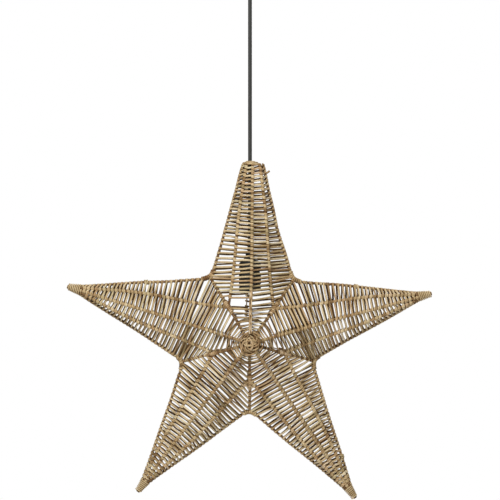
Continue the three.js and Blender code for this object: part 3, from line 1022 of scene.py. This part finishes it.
def lay_ridge_canes(strands, stakes):
    """Two canes side by side along the front ridge of the top arm."""
    for shift in (-1, 1):
        path = stakes["ridge", 0, FRONT].points(*RIDGE_CANES, RIDGE_CANE_STEP)
        path = path + [RIDGE_CANE_OFFSET * shift, -WRAP_RADIUS - CANE_THICKNESS, 0.0]
        path[:, 0] += rng.normal(0.0, RIDGE_CANE_JITTER, len(path))
        tone = rng.normal(RIDGE_CANE_TONE, RIDGE_CANE_UNEVENNESS, len(path))
        strands.add(path, FORWARD, RIDGE_CANE_WIDTH, CANE_THICKNESS, tone, RUSTY_HUE)


def leave_loose_end(strands, stakes):
    """The end of a cane that sticks out by the collar."""
    edge = stakes["edge", 0, 1]
    start = edge.point(edge.share_at(heading(ARMS[0]["bearing"]), LOOSE_END_STATION))
    path = start + np.outer(np.linspace(0.0, LOOSE_END_LENGTH, 5), unit(LOOSE_END_LINE))
    strands.add(path, FORWARD, tone=LOOSE_END_TONE)


def bind_star(stakes):
    strands = Strands()
    bind_joints(strands, stakes)
    bind_joins(strands, stakes)
    lay_ridge_canes(strands, stakes)
    leave_loose_end(strands, stakes)
    strands.finish("cane_bindings", "weave")


# Lampholder and ceiling fitting

def rounded(profile, radius, steps=4):
    """A profile with each inner corner turned into a small curve."""
    points = [np.array(profile[0], float)]
    for before, corner, after in zip(profile, profile[1:], profile[2:]):
        before, corner, after = (np.array(point, float) for point in (before, corner, after))
        reach = min(radius, 0.45 * np.linalg.norm(before - corner), 0.45 * np.linalg.norm(after - corner))
        start = corner + unit(before - corner) * reach
        stop = corner + unit(after - corner) * reach
        for share in np.linspace(0.0, 1.0, steps):
            points.append((1 - share) ** 2 * start + 2 * share * (1 - share) * corner + share ** 2 * stop)
    points.append(np.array(profile[-1], float))
    return points


def lathe(name, profile, base, rib_count, ribbed):
    """Turns a profile of radius and height about Z, with ribs that stand out between two heights."""
    points, rings, faces = [], [], []
    for radius, height in profile:
        if radius < TINY:
            rings.append([len(points)])
            points.append((0.0, 0.0, base + height))
            continue
        rings.append(list(range(len(points), len(points) + LATHE_SEGMENTS)))
        raised = RIB_DEPTH if ribbed[0] <= height <= ribbed[1] else 0.0
        for step in range(LATHE_SEGMENTS):
            angle = 2 * math.pi * step / LATHE_SEGMENTS
            grown = radius + raised * (0.5 + 0.5 * math.tanh(3 * math.cos(rib_count * angle)))
            points.append((grown * math.cos(angle), grown * math.sin(angle), base + height))
    for lower, upper in zip(rings, rings[1:]):
        for step in range(LATHE_SEGMENTS):
            following = (step + 1) % LATHE_SEGMENTS
            quad = [lower[step % len(lower)], lower[following % len(lower)],
                    upper[following % len(upper)], upper[step % len(upper)]]
            faces.append([corner for i, corner in enumerate(quad) if corner not in quad[:i]])
    mesh = bpy.data.meshes.new(name)
    mesh.from_pydata(points, [], faces)
    mesh.shade_smooth()
    mesh.materials.append(BLACK_PLASTIC)
    return mesh


def make_lampholder():
    """The lampholder: a threaded bore from its end to its mouth, and then the body up to its neck."""
    crest = HOLDER_BORE_RADIUS - THREAD_DEPTH
    profile = [(0.0, HOLDER_BORE_DEPTH), (crest, HOLDER_BORE_DEPTH)]
    for turn in range(THREAD_TURNS):
        height = HOLDER_BORE_DEPTH * (1 - (turn + 0.5) / THREAD_TURNS)
        profile += [(crest, height + THREAD_RISE), (HOLDER_BORE_RADIUS, height)]
    profile += [
        (HOLDER_BORE_RADIUS + 0.0008, 0.0),
        (HOLDER_RADIUS, 0.0),
        (HOLDER_RADIUS, 0.006),
        (HOLDER_RADIUS - 0.0011, 0.0068),
        (HOLDER_RADIUS - 0.0011, 0.0085),
        (HOLDER_RADIUS - 0.0005, 0.0095),
        (HOLDER_RADIUS - 0.0005, 0.0245),
        (HOLDER_RADIUS - 0.0015, 0.0255),
        (HOLDER_RADIUS - 0.0015, 0.0275),
        (HOLDER_RADIUS, 0.0285),
        (HOLDER_RADIUS, HOLDER_BODY_LENGTH),
        (HOLDER_NECK_RADIUS + 0.001, HOLDER_LENGTH - 0.006),
        (HOLDER_NECK_RADIUS, HOLDER_LENGTH - 0.005),
        (HOLDER_NECK_RADIUS, HOLDER_LENGTH),
        (0.0, HOLDER_LENGTH),
    ]
    mesh = lathe("lampholder_body", rounded(profile, HOLDER_ROUNDING), HOLDER_BASE,
                 rib_count=24, ribbed=(0.0098, 0.0243))
    place_piece(add_object("black_lampholder", mesh), "lampholder", "lampholder")


def make_ceiling_fitting():
    """The ceiling fitting: a ribbed gland for the cable, a dome and a rim."""
    profile = [
        (0.0, -FITTING_LENGTH),
        (FITTING_GLAND_RADIUS, -FITTING_LENGTH),
        (FITTING_GLAND_RADIUS + 0.0004, -FITTING_HEIGHT - 0.001),
        (FITTING_GLAND_RADIUS * 1.3, -FITTING_HEIGHT),
        (FITTING_RADIUS * 0.5, -FITTING_HEIGHT * 0.87),
        (FITTING_RADIUS * 0.7, -FITTING_HEIGHT * 0.7),
        (FITTING_RADIUS * 0.88, -FITTING_HEIGHT * 0.48),
        (FITTING_RADIUS - 0.0008, -FITTING_RIM - 0.001),
        (FITTING_RADIUS - 0.0008, -FITTING_RIM + 0.0005),
        (FITTING_RADIUS, -FITTING_RIM + 0.0012),
        (FITTING_RADIUS, 0.0),
        (0.0, 0.0),
    ]
    mesh = lathe("ceiling_fitting_body", rounded(profile, FITTING_ROUNDING), 0.0,
                 rib_count=16, ribbed=(-FITTING_LENGTH + 0.001, -FITTING_HEIGHT - 0.0015))
    return place_piece(add_object("black_ceiling_fitting", mesh), "ceiling_fitting", "ceiling_fitting")


# Studio

def area_light(name, location, size, power):
    data = bpy.data.lights.new(name, "AREA")
    data.size = size
    data.energy = power
    light = add_object(name, data)
    aim = np.array(LIGHT_TARGET) - np.array(location)
    light.location = location
    light.rotation_euler = (math.acos(-aim[2] / np.linalg.norm(aim)), 0.0, math.atan2(-aim[0], aim[1]))


def make_studio():
    """A white background that lights little by itself, and three soft lights."""
    scene = bpy.context.scene
    scene.view_settings.view_transform = "Standard"
    world = bpy.data.worlds.new("studio")
    scene.world = world
    world.use_nodes = True
    tree = world.node_tree
    seen = add_node(tree, "ShaderNodeBackground", {"Color": (1.0, 1.0, 1.0, 1.0), "Strength": 1.0})
    fill = tree.nodes["Background"]
    fill.inputs["Color"].default_value = (1.0, 1.0, 1.0, 1.0)
    fill.inputs["Strength"].default_value = FILL_STRENGTH
    path = add_node(tree, "ShaderNodeLightPath")
    mix = add_node(tree, "ShaderNodeMixShader", {0: path.outputs["Is Camera Ray"],
                                                 1: fill.outputs[0], 2: seen.outputs[0]})
    tree.links.new(mix.outputs[0], tree.nodes["World Output"].inputs["Surface"])
    area_light("key_light", (-0.5, -1.6, 0.85), size=0.5, power=47.0)
    area_light("fill_light", (1.2, -1.9, 0.0), size=1.4, power=4.0)
    area_light("back_light", (0.7, 2.0, 0.8), size=1.2, power=62.0)


def make_floor():
    material, tree, shader = new_material("pale_floor")
    grain = add_node(tree, "ShaderNodeTexNoise", {"Scale": 400.0, "Detail": 4.0}).outputs["Fac"]
    tint = colour_ramp(tree, grain, [(0.3, (0.84, 0.84, 0.83)), (0.7, (0.88, 0.88, 0.87))])
    tree.links.new(tint, shader.inputs["Base Color"])
    shader.inputs["Roughness"].default_value = 0.8
    angle = 2 * math.pi * np.arange(FLOOR_SIDES) / FLOOR_SIDES
    rim = [(FLOOR_RADIUS * math.cos(a), FLOOR_RADIUS * math.sin(a), FLOOR_HEIGHT) for a in angle]
    mesh = bpy.data.meshes.new("floor")
    mesh.from_pydata(rim, [], [list(range(FLOOR_SIDES))])
    mesh.materials.append(material)
    add_object("floor", mesh)


# Scene

make_camera()
flex = make_cable()
ceiling_fitting = make_ceiling_fitting()
make_lampholder()
star_stakes = build_stakes()
for arm_index in range(len(ARMS)):
    weave_arm(star_stakes, arm_index)
    draw_arm_stakes(star_stakes, arm_index)
    if ARMS[arm_index]["name"] != "top_arm":
        bind_tip(arm_index)
bind_collar()
draw_valley_stakes(star_stakes)
tie_knot()
bind_hoop()
bind_star(star_stakes)
make_studio()
make_floor()
